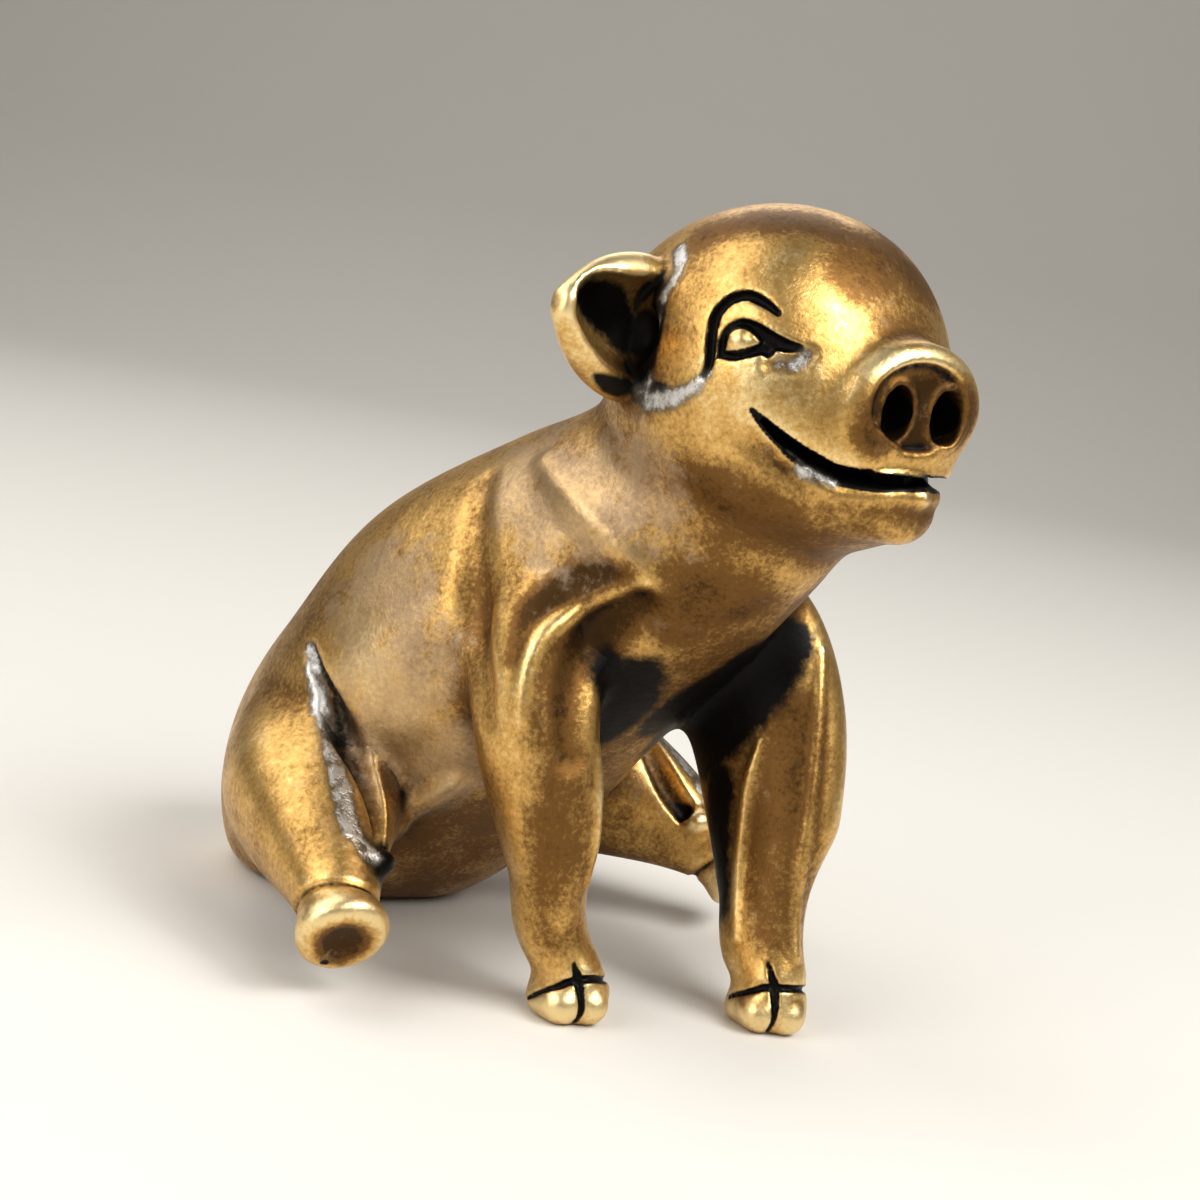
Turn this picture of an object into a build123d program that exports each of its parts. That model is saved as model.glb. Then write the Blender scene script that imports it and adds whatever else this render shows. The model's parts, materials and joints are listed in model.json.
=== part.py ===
"""Seated pig ornament in antiqued brass: separate castings that locate on spigots and are brazed together.

Millimetres, +Z up. The pig looks along -Y and its left side is +X.
The origin is the middle of the flat seat that the rump rests on.
"""

from build123d import *

import os
from math import cos, pi, sin

# Brazed joints: the room for filler metal between two castings, and the pegs that locate them
BRAZE_GAP = 0.1
LEG_SPIGOT_DIAMETER = 2.4
LEG_SPIGOT_LENGTH = 2.5
EAR_SPIGOT_DIAMETER = 1.0
EAR_SPIGOT_LENGTH = 1.8
TAIL_SPIGOT_DIAMETER = 0.8
TAIL_SPIGOT_LENGTH = 1.5

# Torso: a barrel whose centre line climbs forward from the rump to the neck
RUMP_BEHIND_SEAT = 3.7
RUMP_BELOW_SEAT = 1.2
SPINE_REACH = 23.3
SPINE_RISE = 25.8
TORSO_WIDTH = 19.0
TORSO_DEPTH = 14.2
# shares of the reach, the rise, the width and the depth
TORSO_PROFILE = [
    (0.000, 0.000, 0.50, 0.55),
    (0.026, 0.093, 0.66, 0.70),
    (0.069, 0.171, 0.80, 0.84),
    (0.146, 0.271, 0.93, 0.95),
    (0.249, 0.391, 1.00, 1.00),
    (0.378, 0.519, 0.99, 1.02),
    (0.481, 0.616, 0.91, 1.01),
    (0.605, 0.725, 0.79, 0.98),
    (0.734, 0.814, 0.69, 0.89),
    (0.841, 0.899, 0.60, 0.83),
    (0.931, 0.961, 0.53, 0.76),
    (1.000, 1.000, 0.46, 0.68),
]
HIP_STATION = 4
SHOULDER_STATION = 7

# Head: skull and lower jaw, set over the neck
HEAD_LENGTH = 15.4
HEAD_WIDTH = 13.6
HEAD_HEIGHT = 13.7
NAPE_BEHIND_NECK = 8.6
JAW_BELOW_NECK = 3.4
HEAD_FULLNESS = 2.3
# shares of the length and the width, then of the height for the widest line, the top and the bottom
HEAD_PROFILE = [
    (0.00, 0.12, 0.52, 0.58, 0.46),
    (0.04, 0.41, 0.52, 0.72, 0.32),
    (0.16, 0.74, 0.52, 0.86, 0.13),
    (0.33, 0.94, 0.51, 0.97, 0.03),
    (0.51, 1.00, 0.50, 1.00, 0.00),
    (0.66, 0.94, 0.49, 0.96, 0.00),
    (0.78, 0.80, 0.45, 0.86, 0.03),
    (0.87, 0.62, 0.39, 0.71, 0.07),
    (0.95, 0.44, 0.32, 0.54, 0.12),
    (1.00, 0.14, 0.26, 0.31, 0.21),
]

# Snout: an oval barrel that ends in the nose disc
SNOUT_WIDTH = 6.6
SNOUT_HEIGHT = 5.0
SNOUT_LENGTH = 5.2
SNOUT_ABOVE_JAW = 6.6
SNOUT_AHEAD_OF_CHIN = 0.4
# shares of the length from the disc, of the width and of the height
SNOUT_PROFILE = [
    (1.00, 1.04, 1.16),
    (0.50, 0.93, 0.95),
    (0.20, 0.98, 0.98),
    (0.07, 1.00, 1.00),
    (0.00, 0.88, 0.86),
]
NOSTRIL_WIDTH = 1.7
NOSTRIL_HEIGHT = 2.3
NOSTRIL_SPACING = 2.7
NOSTRIL_DEPTH = 1.5

# Mouth: a slit that runs round the muzzle, as shares of the head's length and height
MOUTH_GAPE = 0.8
MOUTH_DEPTH = 1.0
MOUTH_CORNER = (0.635, 0.40)
MOUTH_CHEEK = (0.78, 0.285)
MOUTH_FRONT = (1.10, 0.26)

# Eyes: a ball in a ring groove under a brow groove, placed by shares of the head's length and height
EYE_PLACE = (0.62, 0.60)
EYE_DIAMETER = 1.4
EYE_GROOVE = 0.4
BROW_DIAMETER = 3.4

# Ears, placed by shares of the head's length and height
EAR_PLACE = (0.305, 0.55)
EAR_LENGTH = 4.6
EAR_HEIGHT = 6.0
EAR_THICKNESS = 2.6
EAR_RISE = 1.0
EAR_RIM = 0.7
EAR_HOLLOW = 1.5
EAR_SINK = 1.5
# shares of the length, the height and the thickness
EAR_PROFILE = [
    (0.00, 0.96, 1.00),
    (0.30, 1.00, 1.00),
    (0.62, 0.83, 0.85),
    (0.86, 0.50, 0.60),
    (1.00, 0.18, 0.35),
]

# Forelegs: the hooves stand on the floor a step ahead of the shoulders, the left one further than the right
SHOULDER_SHARE = 0.72
FOREHOOF_SPREAD = 8.0
RIGHT_FOREHOOF_STEP = 6.1
LEFT_FOREHOOF_STEP = 10.6
FORELEG_WIDTH = 5.2
RIGHT_FORELEG_DEPTH = 5.8
LEFT_FORELEG_DEPTH = 8.4
# shares of the shoulder's height, of the way in and of the way forward to the hoof, of the width and depth
FORELEG_PROFILE = [
    (1.000, 0.20, 0.26, 0.80, 0.88),
    (0.870, 1.15, 0.43, 1.00, 1.00),
    (0.686, 1.50, 0.60, 0.96, 0.94),
    (0.486, 1.10, 0.75, 0.83, 0.80),
    (0.314, 0.62, 0.85, 0.69, 0.61),
    (0.190, 0.24, 0.93, 0.59, 0.47),
]
HOOF_WIDTH = 3.3
HOOF_LENGTH = 3.6
HOOF_HEIGHT = 1.9
# shares of the hoof's height, width and length
HOOF_PROFILE = [
    (1.00, 0.92, 0.88),
    (0.50, 1.00, 1.00),
    (0.15, 0.97, 0.95),
    (0.00, 0.80, 0.78),
]
CLEFT_WIDTH = 0.5
CLEFT_DEPTH = 1.0
CORONET_GROOVE = 0.3

# Hind legs: the thighs lie along the flanks and the feet point forward from the hips, clear of the floor
HIP_SHARE = 0.66
HIP_DROP = 2.1
HIND_SOLE_SPREAD = 26.2
HIND_SOLE_STEP = 10.0
HIND_SOLE_HEIGHT = 2.8
THIGH_DIAMETER = 9.2
ANKLE_DIAMETER = 3.4
HIND_FOOT_DIAMETER = 3.9
# shares of the way out, forward and down from the hip to the sole, and of the thigh's diameter
THIGH_PROFILE = [
    (0.00, 0.00, 0.00, 1.00),
    (0.31, 0.19, 0.12, 0.89),
    (0.59, 0.47, 0.35, 0.67),
]
# the same, of the ankle's diameter
ANKLE_PROFILE = [
    (0.79, 0.72, 0.60, 1.24),
    (0.91, 0.87, 0.80, 1.00),
]
# the same, of the foot's diameter
HIND_FOOT_PROFILE = [
    (0.97, 0.95, 0.93, 1.00),
    (1.00, 1.00, 1.00, 0.84),
]
ANKLE_GROOVE = 0.25

# Tail: a curl that lies on the rump, half sunk as in a relief
TAIL_HEIGHT = 8.5
TAIL_DIAMETER = 1.3
TAIL_CURL = 3.2
TAIL_TURN = 290
TAIL_PROUD = 0.3

# Even pitch of the sections along a body or a limb, and points round one section
BODY_PITCH = 2.0
LIMB_PITCH = 1.0
RING_POINTS = 8


def ring(plane, half_width, up, down, fullness=2.0):
    """A closed smooth section in the plane, with its own height above and below the middle.

    A fullness of 2 is an ellipse, and more is squarer."""
    points = []
    for step in range(RING_POINTS):
        turn = 2 * pi * (step / RING_POINTS - 0.25)
        across, rise = cos(turn), sin(turn)
        x = half_width * abs(across) ** (2 / fullness)
        y = (up if rise > 0 else down) * abs(rise) ** (2 / fullness)
        points.append((x if across > 0 else -x, y if rise > 0 else -y))
    return plane * make_face(Spline(*points, periodic=True))


def even(stations, pitch):
    """Stations at an even pitch on the smooth line through the given ones, which start with x, y and z."""
    marks = [0.0]
    for here, after in zip(stations, stations[1:]):
        marks.append(marks[-1] + (Vector(*after[:3]) - Vector(*here[:3])).length)
    last = len(stations) - 1
    slopes = []
    for index in range(len(stations)):
        low, high = max(index - 1, 0), min(index + 1, last)
        run = marks[high] - marks[low]
        slopes.append([(b - a) / run for a, b in zip(stations[low], stations[high])])
    count = max(2, round(marks[-1] / pitch))
    found = []
    for step in range(count + 1):
        mark = marks[-1] * step / count
        index = max(i for i in range(last) if marks[i] <= mark + 1e-9)
        run = marks[index + 1] - marks[index]
        t = (mark - marks[index]) / run
        pairs = zip(stations[index], stations[index + 1], slopes[index], slopes[index + 1])
        found.append([
            (2 * t**3 - 3 * t**2 + 1) * a + (t**3 - 2 * t**2 + t) * run * m
            + (3 * t**2 - 2 * t**3) * b + (t**3 - t**2) * run * n
            for a, b, m, n in pairs
        ])
    return found


def tube(stations, across, pitch, grow=0.0):
    """A solid through elliptical sections that stand square to the line of their centres.

    A station is x, y, z, the half width along the across direction and the half depth."""
    line = even(stations, pitch)
    sections = []
    for index, (x, y, z, half_width, half_depth) in enumerate(line):
        before = Vector(*line[max(index - 1, 0)][:3])
        after = Vector(*line[min(index + 1, len(line) - 1)][:3])
        tangent = (after - before).normalized()
        x_dir = Vector(across) - tangent * Vector(across).dot(tangent)
        plane = Plane(origin=(x, y, z), x_dir=x_dir, z_dir=tangent)
        sections.append(ring(plane, half_width + grow, half_depth + grow, half_depth + grow))
    return loft(sections)


def surface_hit(solid, start, direction):
    """The outermost point of a solid along a line, with the surface's normal there."""
    line = Axis(start, direction)
    hits = [hit for face in solid.faces() for hit in face.find_intersection_points(line)]
    return max(hits, key=lambda hit: (hit[0] - Vector(start)).dot(Vector(direction)))


def spigot(carrier, start, towards, diameter, length):
    """The peg that runs from inside a limb into the casting that carries it, and the socket that takes it."""
    base = Vector(*start[:3])
    direction = (Vector(*towards[:3]) - base).normalized()
    line = Axis(base, direction)
    hits = [hit[0] for face in carrier.faces() for hit in face.find_intersection_points(line)]
    reach = min(way for way in ((hit - base).dot(direction) for hit in hits) if way > 0)
    plane = Plane(origin=base, z_dir=direction)
    ends = (Align.CENTER, Align.CENTER, Align.MIN)
    peg = plane * Cylinder(diameter / 2, reach + length, align=ends)
    socket = plane * Cylinder(diameter / 2 + BRAZE_GAP, reach + length + BRAZE_GAP, align=ends)
    return peg, socket


def mirrored(shape):
    """The same shape on the pig's other side."""
    return mirror(shape, Plane.YZ)


def torso_station(index):
    """Centre, half width and half depth of one of the torso's sections."""
    reach, rise, width, depth = TORSO_PROFILE[index]
    y = RUMP_BEHIND_SEAT - reach * SPINE_REACH
    z = rise * SPINE_RISE - RUMP_BELOW_SEAT
    return 0, y, z, width * TORSO_WIDTH / 2, depth * TORSO_DEPTH / 2


def torso_form(grow=0.0):
    """The whole barrel, cut flat at the seat."""
    barrel = tube([torso_station(index) for index in range(len(TORSO_PROFILE))], (1, 0, 0), BODY_PITCH, grow)
    under = 2 * max(TORSO_WIDTH, SPINE_REACH)
    return barrel - Pos(0, 0, -grow) * Box(under, under, under, align=(Align.CENTER, Align.CENTER, Align.MAX))


def head_point(place):
    """y and z of a place given as shares of the head's length and height."""
    _, neck_y, neck_z, _, _ = torso_station(-1)
    y = neck_y + NAPE_BEHIND_NECK - place[0] * HEAD_LENGTH
    z = neck_z - JAW_BELOW_NECK + place[1] * HEAD_HEIGHT
    return y, z


def skull_form(grow=0.0):
    """Skull and jaw before anything is cut into them."""
    stations = []
    for length, width, widest, top, bottom in HEAD_PROFILE:
        y, z = head_point((length, widest))
        stations.append((0, y, z, width * HEAD_WIDTH / 2, head_point((0, top))[1], head_point((0, bottom))[1]))
    sections = []
    for _, y, z, half_width, top, bottom in even(stations, BODY_PITCH):
        plane = Plane(origin=(0, y, z), x_dir=(1, 0, 0), z_dir=(0, -1, 0))
        sections.append(ring(plane, half_width + grow, top - z + grow, z - bottom + grow, HEAD_FULLNESS))
    return loft(sections)


def snout_form(grow=0.0):
    """The snout's oval barrel, from inside the skull to the nose disc."""
    disc_y, disc_z = snout_centre()
    stations = []
    for length, width, height in SNOUT_PROFILE:
        y = disc_y + length * SNOUT_LENGTH
        stations.append((0, y, disc_z, width * SNOUT_WIDTH / 2, height * SNOUT_HEIGHT / 2))
    return tube(stations, (1, 0, 0), LIMB_PITCH, grow)


def head_form(grow=0.0):
    """Skull, jaw and snout in one."""
    return skull_form(grow) + snout_form(grow)


def snout_centre():
    """y and z of the middle of the nose disc."""
    chin_y, jaw_z = head_point((1, 0))
    return chin_y - SNOUT_AHEAD_OF_CHIN, jaw_z + SNOUT_ABOVE_JAW


def nostrils():
    """Two upright oval holes in the nose disc."""
    disc_y, disc_z = snout_centre()
    holes = []
    for side in (-1, 1):
        centre = (side * NOSTRIL_SPACING / 2, disc_y - NOSTRIL_DEPTH, disc_z)
        plane = Plane(origin=centre, x_dir=(1, 0, 0), z_dir=(0, 1, 0))
        oval = ring(plane, NOSTRIL_WIDTH / 2, NOSTRIL_HEIGHT / 2, NOSTRIL_HEIGHT / 2)
        holes.append(extrude(oval, 2 * NOSTRIL_DEPTH))
    return holes


def mouth():
    """The slit between the lips: a tapered band across the head, less the core that it doesn't reach."""
    corner, cheek, front = (head_point(place) for place in (MOUTH_CORNER, MOUTH_CHEEK, MOUTH_FRONT))
    half = MOUTH_GAPE / 2
    upper = Spline(corner, (cheek[0], cheek[1] + half), (front[0], front[1] + half))
    lower = Spline(corner, (cheek[0], cheek[1] - half), (front[0], front[1] - half))
    lips = make_face([upper, Line(upper @ 1, lower @ 1), lower])
    band = extrude(Plane.YZ * lips, HEAD_WIDTH / 2, both=True)
    return band - skull_form(-MOUTH_DEPTH)


def eye_cuts(head, side):
    """The ring round an eyeball and the arched brow above it."""
    y, z = head_point(EYE_PLACE)
    point, normal = surface_hit(head, (0, y, z), (side, 0, 0))
    plane = Plane(origin=point, x_dir=(0, -1, 0), z_dir=normal)
    ring_cut = plane * Torus(EYE_DIAMETER / 2 + EYE_GROOVE / 2, EYE_GROOVE / 2)
    brow = plane * Torus(BROW_DIAMETER / 2, EYE_GROOVE / 2)
    below = Pos(point.X, point.Y, point.Z) * Box(
        2 * BROW_DIAMETER, 2 * BROW_DIAMETER, 2 * BROW_DIAMETER, align=(Align.CENTER, Align.CENTER, Align.MAX)
    )
    return [ring_cut, brow - below]


def left_ear(head, around_head):
    """A leaf with a hollow in its front, coped to the head, and the socket for its peg."""
    y, z = head_point(EAR_PLACE)
    side, _ = surface_hit(head, (0, y, z), (1, 0, 0))
    root_x = side.X - EAR_SINK
    leaf, dish = [], []
    for length, height, thickness in EAR_PROFILE:
        x = root_x + length * (EAR_SINK + EAR_LENGTH)
        centre_z = z + length * EAR_RISE
        half_height, half_thickness = height * EAR_HEIGHT / 2, thickness * EAR_THICKNESS / 2
        leaf.append((x, y, centre_z, half_height, half_thickness))
        inner = half_height - height * EAR_RIM
        dish.append((x - EAR_RIM, y - half_thickness, centre_z, inner, thickness * EAR_HOLLOW))
    back_wall_y = y + EAR_HOLLOW / 2
    peg, socket = spigot(
        head, (side.X + EAR_SPIGOT_DIAMETER, back_wall_y, z), (root_x, back_wall_y, z),
        EAR_SPIGOT_DIAMETER, EAR_SPIGOT_LENGTH,
    )
    up = (0, 0, 1)
    return tube(leaf, up, LIMB_PITCH) - tube(dish, up, LIMB_PITCH) - around_head + peg, socket


def hoof_cuts(hoof_x, hoof_y):
    """The groove above the hoof and the cleft between its two toes."""
    _, width, length = HOOF_PROFILE[0]
    inside = (width * HOOF_WIDTH + length * HOOF_LENGTH) / 4 - CORONET_GROOVE / 2
    band = Cylinder(inside + HOOF_WIDTH, CORONET_GROOVE) - Cylinder(inside, CORONET_GROOVE)
    coronet = Pos(hoof_x, hoof_y, HOOF_HEIGHT) * band
    toe_y = hoof_y - HOOF_LENGTH / 2
    left_x, right_x = hoof_x - CLEFT_WIDTH / 2, hoof_x + CLEFT_WIDTH / 2
    ahead_y = toe_y - CLEFT_WIDTH
    corners = [(left_x, ahead_y), (right_x, ahead_y), (right_x, toe_y), (hoof_x, toe_y + CLEFT_DEPTH), (left_x, toe_y)]
    cleft = extrude(make_face(Polyline(*corners, close=True)), HOOF_HEIGHT)
    return [coronet, cleft]


def foreleg(torso, around_torso, hoof_step, depth):
    """A left-hand foreleg from the shoulder to a cloven hoof on the floor, and the socket for its peg."""
    _, shoulder_y, shoulder_z, torso_half, _ = torso_station(SHOULDER_STATION)
    shoulder_x = SHOULDER_SHARE * torso_half
    hoof_x, hoof_y = FOREHOOF_SPREAD / 2, shoulder_y - hoof_step
    stations = []
    for height, inward, forward, width, share in FORELEG_PROFILE:
        x = hoof_x + inward * (shoulder_x - hoof_x)
        y = shoulder_y - forward * hoof_step
        stations.append((x, y, height * shoulder_z, width * FORELEG_WIDTH / 2, share * depth / 2))
    for height, width, length in HOOF_PROFILE:
        stations.append((hoof_x, hoof_y, height * HOOF_HEIGHT, width * HOOF_WIDTH / 2, length * HOOF_LENGTH / 2))
    peg, socket = spigot(torso, stations[2], stations[0], LEG_SPIGOT_DIAMETER, LEG_SPIGOT_LENGTH)
    limb = tube(stations, (1, 0, 0), LIMB_PITCH) - hoof_cuts(hoof_x, hoof_y)
    return limb - around_torso + peg, socket


def hind_leg(torso, around_torso):
    """A left-hand hind leg from the hip to a flat sole, and the socket for its peg."""
    _, hip_y, hip_z, torso_half, _ = torso_station(HIP_STATION)
    hip = Vector(HIP_SHARE * torso_half, hip_y, hip_z - HIP_DROP)
    sole = Vector(HIND_SOLE_SPREAD / 2, hip_y - HIND_SOLE_STEP, HIND_SOLE_HEIGHT)
    way = sole - hip
    stations = []
    stretches = [
        (THIGH_PROFILE, THIGH_DIAMETER),
        (ANKLE_PROFILE, ANKLE_DIAMETER),
        (HIND_FOOT_PROFILE, HIND_FOOT_DIAMETER),
    ]
    for profile, diameter in stretches:
        for out, forward, down, share in profile:
            radius = share * diameter / 2
            stations.append((hip.X + out * way.X, hip.Y + forward * way.Y, hip.Z + down * way.Z, radius, radius))
    ankle = Vector(*stations[len(THIGH_PROFILE) + len(ANKLE_PROFILE) - 1][:3])
    inside = ANKLE_DIAMETER / 2 - ANKLE_GROOVE / 2
    band = Cylinder(inside + ANKLE_DIAMETER / 2, ANKLE_GROOVE) - Cylinder(inside, ANKLE_GROOVE)
    groove = Plane(origin=ankle, z_dir=sole - ankle) * band
    peg, socket = spigot(torso, stations[2], stations[0], LEG_SPIGOT_DIAMETER, LEG_SPIGOT_LENGTH)
    return tube(stations, (0, 0, 1), LIMB_PITCH) - groove - around_torso + peg, socket


def tail(torso, around_torso):
    """A curl on the rump, and the socket for the peg behind its root."""
    _, hip_y, _, _, _ = torso_station(HIP_STATION)
    rump, normal = surface_hit(torso, (0, hip_y, TAIL_HEIGHT), (0, 1, 0))
    plane = Plane(origin=rump + normal * TAIL_PROUD, x_dir=(1, 0, 0), z_dir=normal)
    thick, curl = TAIL_DIAMETER / 2, TAIL_CURL / 2
    loop = plane * Torus(curl, thick, major_angle=TAIL_TURN)
    root = plane.from_local_coords((curl, 0, 0))
    peg, socket = spigot(torso, tuple(root), tuple(root - normal), TAIL_SPIGOT_DIAMETER, TAIL_SPIGOT_LENGTH)
    return loop - around_torso + peg, socket


def pieces():
    """Every casting by name."""
    torso, head = torso_form(), head_form()
    around_torso, around_head = torso_form(BRAZE_GAP), head_form(BRAZE_GAP)
    ear, ear_socket = left_ear(head, around_head)
    left_fore, left_fore_socket = foreleg(torso, around_torso, LEFT_FOREHOOF_STEP, LEFT_FORELEG_DEPTH)
    right_fore, right_fore_socket = foreleg(torso, around_torso, RIGHT_FOREHOOF_STEP, RIGHT_FORELEG_DEPTH)
    hind, hind_socket = hind_leg(torso, around_torso)
    curl, curl_socket = tail(torso, around_torso)
    torso_sockets = [left_fore_socket, mirrored(right_fore_socket), hind_socket, mirrored(hind_socket), curl_socket]
    face = [*nostrils(), mouth(), *eye_cuts(head, 1), *eye_cuts(head, -1)]
    return {
        "torso": torso - torso_sockets,
        "head": head - face - around_torso - [ear_socket, mirrored(ear_socket)],
        "left_ear": ear,
        "right_ear": mirrored(ear),
        "left_foreleg": left_fore,
        "right_foreleg": mirrored(right_fore),
        "left_hind_leg": hind,
        "right_hind_leg": mirrored(hind),
        "tail": curl,
    }


def main():
    os.makedirs("parts", exist_ok=True)
    for name, piece in pieces().items():
        export_step(piece, f"parts/{name}.step")
        print(name, len(piece.solids()), "solid", round(piece.volume, 1), "mm3", piece.is_valid)


main()
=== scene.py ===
# %% [markdown]
# # A seated pig in antiqued brass
# The real figure is a handful of small castings, brazed together and worked over until the body flows
# through the joints. Nine plain objects would show a hard line at each joint, and a sculpted mesh would
# need strokes that no script can repeat. So each casting of the CAD frame is turned into a field of
# distances, the fields are blended so that limbs grow out of the body, details are cut and raised in the
# blend, and it is meshed again, one closed piece for each casting.

import json
import math

import bpy
import numpy as np
import openvdb
from mathutils import Matrix, Vector

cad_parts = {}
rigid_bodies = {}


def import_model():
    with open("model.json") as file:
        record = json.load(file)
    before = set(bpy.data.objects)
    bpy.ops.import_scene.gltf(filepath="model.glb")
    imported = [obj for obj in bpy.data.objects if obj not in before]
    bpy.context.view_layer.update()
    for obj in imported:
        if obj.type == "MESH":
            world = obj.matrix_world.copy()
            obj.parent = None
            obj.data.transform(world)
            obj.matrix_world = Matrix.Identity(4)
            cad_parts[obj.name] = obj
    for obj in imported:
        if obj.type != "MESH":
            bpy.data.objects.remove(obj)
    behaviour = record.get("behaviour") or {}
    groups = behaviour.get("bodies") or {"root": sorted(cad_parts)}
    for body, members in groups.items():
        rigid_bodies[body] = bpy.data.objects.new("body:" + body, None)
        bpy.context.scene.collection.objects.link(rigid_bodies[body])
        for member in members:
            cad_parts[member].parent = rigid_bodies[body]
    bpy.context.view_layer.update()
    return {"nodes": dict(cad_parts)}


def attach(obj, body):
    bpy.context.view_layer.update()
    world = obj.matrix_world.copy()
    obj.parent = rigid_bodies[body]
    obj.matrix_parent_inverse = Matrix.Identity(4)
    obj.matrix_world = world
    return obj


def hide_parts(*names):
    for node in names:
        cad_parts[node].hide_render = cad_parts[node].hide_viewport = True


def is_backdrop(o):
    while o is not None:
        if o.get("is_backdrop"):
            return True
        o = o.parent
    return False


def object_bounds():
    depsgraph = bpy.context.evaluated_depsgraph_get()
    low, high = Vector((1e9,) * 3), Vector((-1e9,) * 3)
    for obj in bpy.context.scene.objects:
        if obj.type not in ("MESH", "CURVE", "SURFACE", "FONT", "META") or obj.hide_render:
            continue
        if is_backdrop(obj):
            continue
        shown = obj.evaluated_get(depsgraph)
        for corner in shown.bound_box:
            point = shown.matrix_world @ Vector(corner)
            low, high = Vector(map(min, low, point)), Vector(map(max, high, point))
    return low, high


for leftover in list(bpy.data.objects):
    bpy.data.objects.remove(leftover)
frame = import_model()
MM = 0.001
# spacing of the grid that the skin is worked out on, and how far from a surface a distance is known
GRID = 0.12
BAND = 1.5
print("castings:", sorted(frame["nodes"]))

# %% [markdown]
# A field of distances is a box of grid points that each know how far off the nearest surface is, with a
# minus sign inside the metal. OpenVDB, which comes with Blender, makes one from triangles. Boolean and
# Remesh modifiers could do the same work on meshes, but on a field rounding, joining and cutting are plain
# sums on whole arrays.


# %% From a casting to a field of distances
def triangles(name):
    """Corners in millimetres and triangles of a casting."""
    mesh = frame["nodes"][name].data
    mesh.calc_loop_triangles()
    corners = np.empty(3 * len(mesh.vertices), np.float32)
    mesh.vertices.foreach_get("co", corners)
    faces = np.empty(3 * len(mesh.loop_triangles), np.int32)
    mesh.loop_triangles.foreach_get("vertices", faces)
    return corners.reshape(-1, 3) / MM, faces.reshape(-1, 3)


def distances(name):
    """First grid index and the array of distances round a casting, negative inside."""
    corners, faces = triangles(name)
    first = np.floor((corners.min(0) - BAND) / GRID).astype(int) - 1
    last = np.ceil((corners.max(0) + BAND) / GRID).astype(int) + 1
    spacing = openvdb.createLinearTransform(GRID)
    level_set = openvdb.FloatGrid.createLevelSetFromPolygons(
        corners, triangles=faces, transform=spacing, halfWidth=BAND / GRID)
    field = np.empty(last - first + 1, np.float32)
    level_set.copyToArray(field, ijk=tuple(int(i) for i in first))
    return first, field


def blur(field, width):
    """Three passes of a running mean along each axis, close to a bell curve of that width in millimetres."""
    reach = max(1, round((math.sqrt(4 * (width / GRID) ** 2 + 1) - 1) / 2))
    for axis in (0, 1, 2) * 3:
        ends = [(0, 0)] * 3
        ends[axis] = (reach + 1, reach)
        sums = np.cumsum(np.pad(field, ends, mode="edge"), axis=axis)
        ahead, behind = [slice(None)] * 3, [slice(None)] * 3
        ahead[axis], behind[axis] = slice(2 * reach + 1, None), slice(None, -2 * reach - 1)
        field = (sums[tuple(ahead)] - sums[tuple(behind)]) / (2 * reach + 1)
    return field


# %% [markdown]
# The CAD castings have crisp edges, and polishing rounds such edges off. A Bevel modifier needs clean
# edges, which a triangulated solid doesn't have. A blurred field rounds every edge alike, and a shift of
# the field afterwards gives the casting its volume back.

# %% Softened castings
# how far a casting is softened, and how wide a fillet joins it to the castings before it, in millimetres
FORMS = {
    "torso": (0.6, 0.0),
    "head": (0.45, 1.4),
    "left_foreleg": (0.35, 1.2),
    "right_foreleg": (0.35, 1.2),
    "left_hind_leg": (0.35, 0.9),
    "right_hind_leg": (0.35, 0.9),
    "left_ear": (0.18, 0.5),
    "right_ear": (0.18, 0.5),
    "tail": (0.15, 0.3),
}


def softened(name):
    """A casting's field, blurred, then shifted until as many grid points lie inside as before."""
    first, field = distances(name)
    inside = np.count_nonzero(field < 0)
    soft = blur(field, FORMS[name][0])
    level = np.partition(soft.ravel(), inside)[inside]
    return first, soft - level


castings = {name: softened(name) for name in FORMS}
first = np.min([start for start, _ in castings.values()], axis=0)
last = np.max([start + field.shape for start, field in castings.values()], axis=0)
print("grid", last - first, "points at", GRID, "mm")


# %% [markdown]
# Everything that follows is made of two things. A blend joins two shapes with a fillet, as braze does in a
# corner. A line of beads is a row of balls of changing size with the gaps filled in, as a modeller's tool
# leaves it. Blender's metaballs blend as well, but the fillet of each joint can't be set.

# %% Lines and blends on the grid
# a distance past anything that is asked for
FAR = 9.0


def smooth_min(a, b, width):
    """The lesser of two distances, less a parabola where they are within the width of each other."""
    if width == 0:
        return np.minimum(a, b)
    share = np.maximum(width - np.abs(a - b), 0) / width
    return np.minimum(a, b) - share * share * width / 4


def window(start, shape):
    """Slices of the whole grid that a casting's own grid covers."""
    return tuple(slice(int(s), int(s + n)) for s, n in zip(start - first, shape))


def grid_of(part):
    """Places in millimetres of the grid points in some slices of the whole grid."""
    axes = [(np.arange(cut.start, cut.stop) + f) * GRID for cut, f in zip(part, first)]
    return np.stack(np.meshgrid(*axes, indexing="ij"), axis=-1).astype(np.float32)


def smooth_path(places, between=5):
    """A smooth line through places and radii, as points at even shares of each stretch.

    A stretch is a cubic, and its slope at a place is half the step between the neighbours of that place."""
    places = np.array(places, float)
    before = np.vstack([2 * places[:1] - places[1:2], places[:-2]])
    after = np.vstack([places[2:], 2 * places[-1:] - places[-2:-1]])
    t = np.linspace(0, 1, between, endpoint=False)[None, :, None]
    a, b = places[:-1, None], places[1:, None]
    m, n = (b - before[:, None]) / 2, (after[:, None] - a) / 2
    line = a + m * t + (3 * (b - a) - 2 * m - n) * t**2 + (2 * (a - b) + m + n) * t**3
    return np.vstack([line.reshape(-1, places.shape[1]), places[-1:]])


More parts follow.
